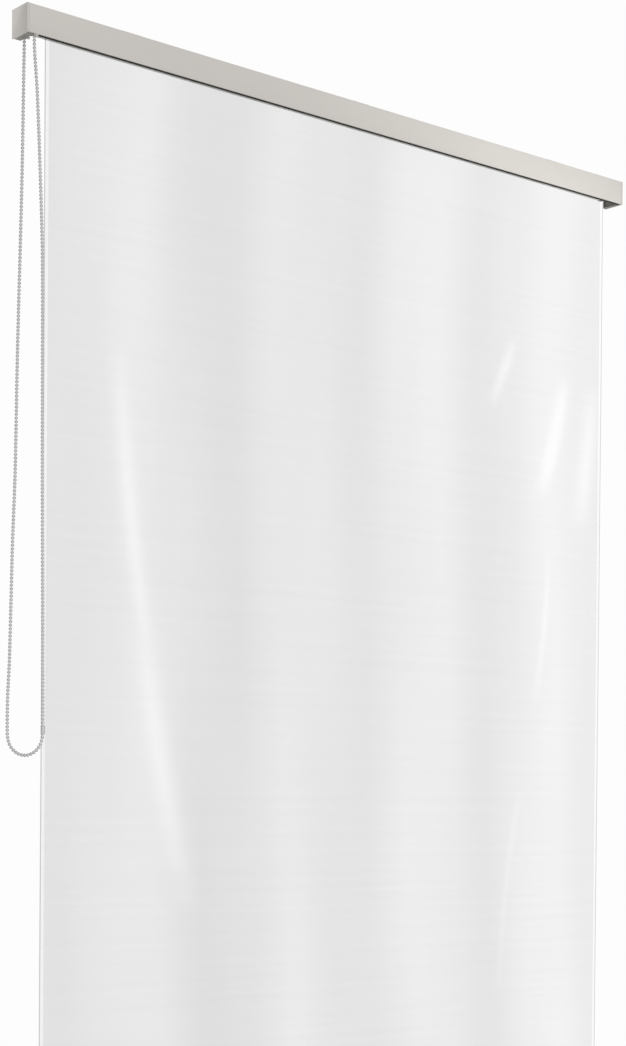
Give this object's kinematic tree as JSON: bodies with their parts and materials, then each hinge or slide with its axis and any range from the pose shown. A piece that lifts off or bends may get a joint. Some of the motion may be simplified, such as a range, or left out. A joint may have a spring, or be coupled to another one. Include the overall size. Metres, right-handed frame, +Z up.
{
  "type": "roller shower curtain",
  "caption": "Roller shower curtain: a clear film hangs from a clutch roller in a slim half cassette for the ceiling and is raised and lowered by an endless bead chain.",
  "frame": {"origin": "middle of the plane that is screwed to the ceiling, at the centre of the middle ceiling clip's top face", "axes": "+X along the cassette, away from the bead chain; +Y to the back of the cassette; +Z up, out of the mounting plane"},
  "size_m": [1.46, 0.0641, 2.441],
  "materials": {
    "anodised_aluminium": "satin warm grey anodised or powder coated",
    "clip_steel": "zinc plated sheet",
    "bright_steel": "zinc plated",
    "spring_steel": "drawn wire, oiled",
    "grey_plastic": "moulded, satin",
    "dark_plastic": "moulded, satin",
    "white_plastic": "moulded, smooth",
    "bead_plastic": "moulded beads on a polyester cord",
    "connector_plastic": "clear moulded plastic that looks grey",
    "wiper_rubber": "soft extruded lip",
    "clear_film": "clear flexible film, glossy"
  },
  "bodies": {
    "root": {"cassette_profile": "anodised_aluminium", "left_end_cap": "anodised_aluminium", "right_end_cap": "anodised_aluminium", "wiper_lip": "wiper_rubber", "ceiling_clip_left": "clip_steel", "ceiling_clip_middle": "clip_steel", "ceiling_clip_right": "clip_steel", "drive_housing": "grey_plastic", "idle_bracket": "grey_plastic", "chain_guard": "grey_plastic", "drive_bracket_screw_1": "bright_steel", "drive_bracket_screw_2": "bright_steel", "idle_bracket_screw_1": "bright_steel", "idle_bracket_screw_2": "bright_steel", "drive_spindle": "bright_steel", "spindle_retainer": "spring_steel", "idle_bush": "white_plastic", "film": "clear_film", "chain_front_run": "bead_plastic", "chain_bottom_loop": "bead_plastic", "chain_back_run": "bead_plastic", "chain_on_wheel": "bead_plastic", "chain_connector": "connector_plastic"},
    "roller": {"chain_wheel": "white_plastic", "drive_drum": "dark_plastic", "wrap_spring_1": "spring_steel", "wrap_spring_2": "spring_steel", "roller_tube": "anodised_aluminium", "film_clamp_strip": "white_plastic", "wound_film": "clear_film", "idle_plug": "dark_plastic", "idle_spring": "spring_steel"},
    "idle_pin": {"idle_pin": "bright_steel"},
    "bottom_rail": {"bottom_rail": "anodised_aluminium", "film_keder": "white_plastic", "weight_bar": "bright_steel", "left_rail_cap": "grey_plastic", "right_rail_cap": "grey_plastic"}
  },
  "joints": [
    {"name": "rail_lift", "type": "slide", "parent": "root", "child": "bottom_rail", "axis": [0, 0, 1], "range_m": [0, 2.36373], "deforming": ["film"]},
    {"name": "roller_spin", "type": "hinge", "parent": "root", "child": "roller", "pos_m": [0, 0, -0.0272], "axis": [-1, 0, 0], "range_deg": [0, 7920]},
    {"name": "idle_pin_press", "type": "slide", "parent": "roller", "child": "idle_pin", "axis": [-1, 0, 0], "range_m": [0, 0.006], "stiffness_N_per_m": 400, "springref_m": -0.008, "deforming": ["idle_spring"]}
  ],
  "couplings": [
    {"joint": "roller_spin", "follows": "rail_lift", "rad_per_m": 58.48}
  ]
}
